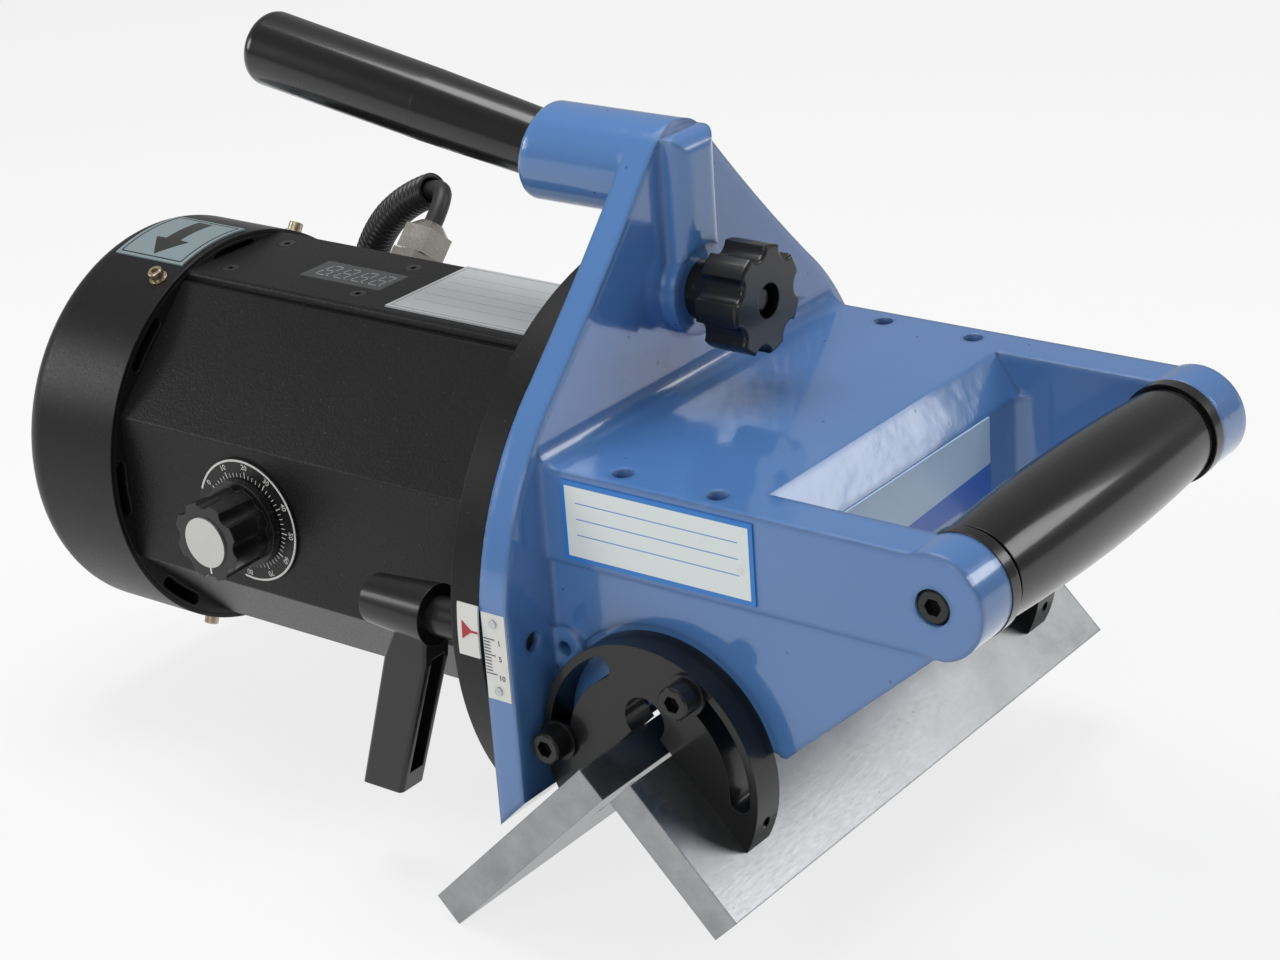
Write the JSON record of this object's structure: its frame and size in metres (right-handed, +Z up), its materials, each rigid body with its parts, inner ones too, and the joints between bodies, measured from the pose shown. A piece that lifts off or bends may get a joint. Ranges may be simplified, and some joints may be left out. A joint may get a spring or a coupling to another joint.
{
  "type": "edge milling machine",
  "caption": "Hand-held machine that mills a chamfer along an edge: motor with a speed dial and display, blue casting with two grips, and a V guide of two bars.",
  "frame": {"origin": "under the middle of the machine, level with the lowest edge of the long guide bar", "axes": "+X along the motor's axis towards the front grip, +Y along the guide bars, +Z up"},
  "size_m": [0.4971, 0.3784, 0.3136],
  "materials": {
    "blue_enamel": "glossy blue enamel",
    "black_housing": "textured black paint",
    "black_cast": "satin black paint",
    "black_plastic": "matte",
    "gloss_black": "glossy",
    "ground_steel": "ground",
    "black_steel": "black oxide",
    "zinc_steel": "zinc plated",
    "nickel": "nickel plated",
    "copper_winding": "enamelled",
    "silver_label": "satin",
    "white_label": "glossy",
    "light_blue_label": "glossy",
    "dark_glass": "glossy",
    "green_board": "matte",
    "carbide": "ground",
    "black_rubber": "matte"
  },
  "bodies": {
    "machine_frame": {"main_casting": "blue_enamel", "front_grip": "gloss_black", "casting_screws": "black_steel", "rear_handle_collar": "gloss_black", "rear_handle_grip": "gloss_black", "rear_handle_rod": "zinc_steel", "sector_washers": "black_steel", "swing_pivot_pin": "zinc_steel", "star_knob_stud": "zinc_steel", "depth_scale": "white_label", "scale_rivets": "silver_label", "side_label": "white_label", "apron_label": "light_blue_label"},
    "motor_unit": {"flange_disc": "black_cast", "motor_screws": "black_steel", "motor_housing": "black_housing", "stator": "black_steel", "windings": "copper_winding", "rear_bearing_plate": "black_cast", "shaft_bearings": "zinc_steel", "end_shroud": "black_cast", "shroud_screws": "black_steel", "shroud_washers": "zinc_steel", "arrow_plate": "white_label", "pointer_plate": "white_label", "control_cover": "black_plastic", "cover_screws": "black_steel", "display_window": "dark_glass", "circuit_board": "green_board", "type_plate": "silver_label", "dial_plate": "black_plastic", "speed_potentiometer": "black_plastic", "cable_gland": "nickel", "gland_nut": "nickel", "power_cable": "black_rubber", "cable_conduit": "black_plastic", "cable_coil": "black_rubber", "plug_lead": "black_rubber", "plug": "black_plastic", "plug_pins": "nickel"},
    "spindle": {"motor_shaft": "zinc_steel", "rotor": "black_steel", "cooling_fan": "black_plastic", "cutter_head": "ground_steel", "cutting_inserts": "carbide", "cutter_washer": "zinc_steel", "cutter_bolt": "black_steel"},
    "guide": {"long_guide_bar": "ground_steel", "short_guide_bar": "ground_steel", "near_sector_plate": "black_steel", "far_sector_plate": "black_steel", "bar_screws": "black_steel"},
    "star_clamp": {"star_knob": "gloss_black"},
    "clamp_stud": {"clamp_insert": "black_steel", "clamp_spring": "zinc_steel"},
    "clamp_handle": {"clamp_lever": "black_cast", "clamp_button": "silver_label"},
    "speed_dial": {"potentiometer_shaft": "zinc_steel", "speed_knob": "black_plastic", "knob_cap": "silver_label"}
  },
  "joints": [
    {"name": "depth_turn", "type": "hinge", "parent": "machine_frame", "child": "motor_unit", "pos_m": [0.04, 0.11, 0.11968], "axis": [1, 0, 0], "range_deg": [0, 3.2]},
    {"name": "spindle_turn", "type": "hinge", "parent": "motor_unit", "child": "spindle", "pos_m": [0, 0, 0.11968], "axis": [1, 0, 0], "continuous": true},
    {"name": "guide_tilt", "type": "hinge", "parent": "machine_frame", "child": "guide", "pos_m": [0.1087, 0, 0.07948], "axis": [0, 1, 0], "range_deg": [-30, 0]},
    {"name": "star_turn", "type": "hinge", "parent": "machine_frame", "child": "star_clamp", "pos_m": [0.07, 0, 0.22568], "axis": [1, 0, 0], "range_deg": [0, 180]},
    {"name": "clamp_turn", "type": "hinge", "parent": "machine_frame", "child": "clamp_stud", "pos_m": [0.02, -0.11, 0.11968], "axis": [1, 0, 0], "range_deg": [-110, 0]},
    {"name": "lever_lift", "type": "slide", "parent": "clamp_stud", "child": "clamp_handle", "axis": [-1, 0, 0], "range_m": [0, 0.004], "stiffness_N_per_m": 1200, "springref_m": -0.003},
    {"name": "speed_turn", "type": "hinge", "parent": "motor_unit", "child": "speed_dial", "pos_m": [-0.1182, -0.079, 0.11968], "axis": [0, -1, 0], "range_deg": [0, 225]}
  ]
}
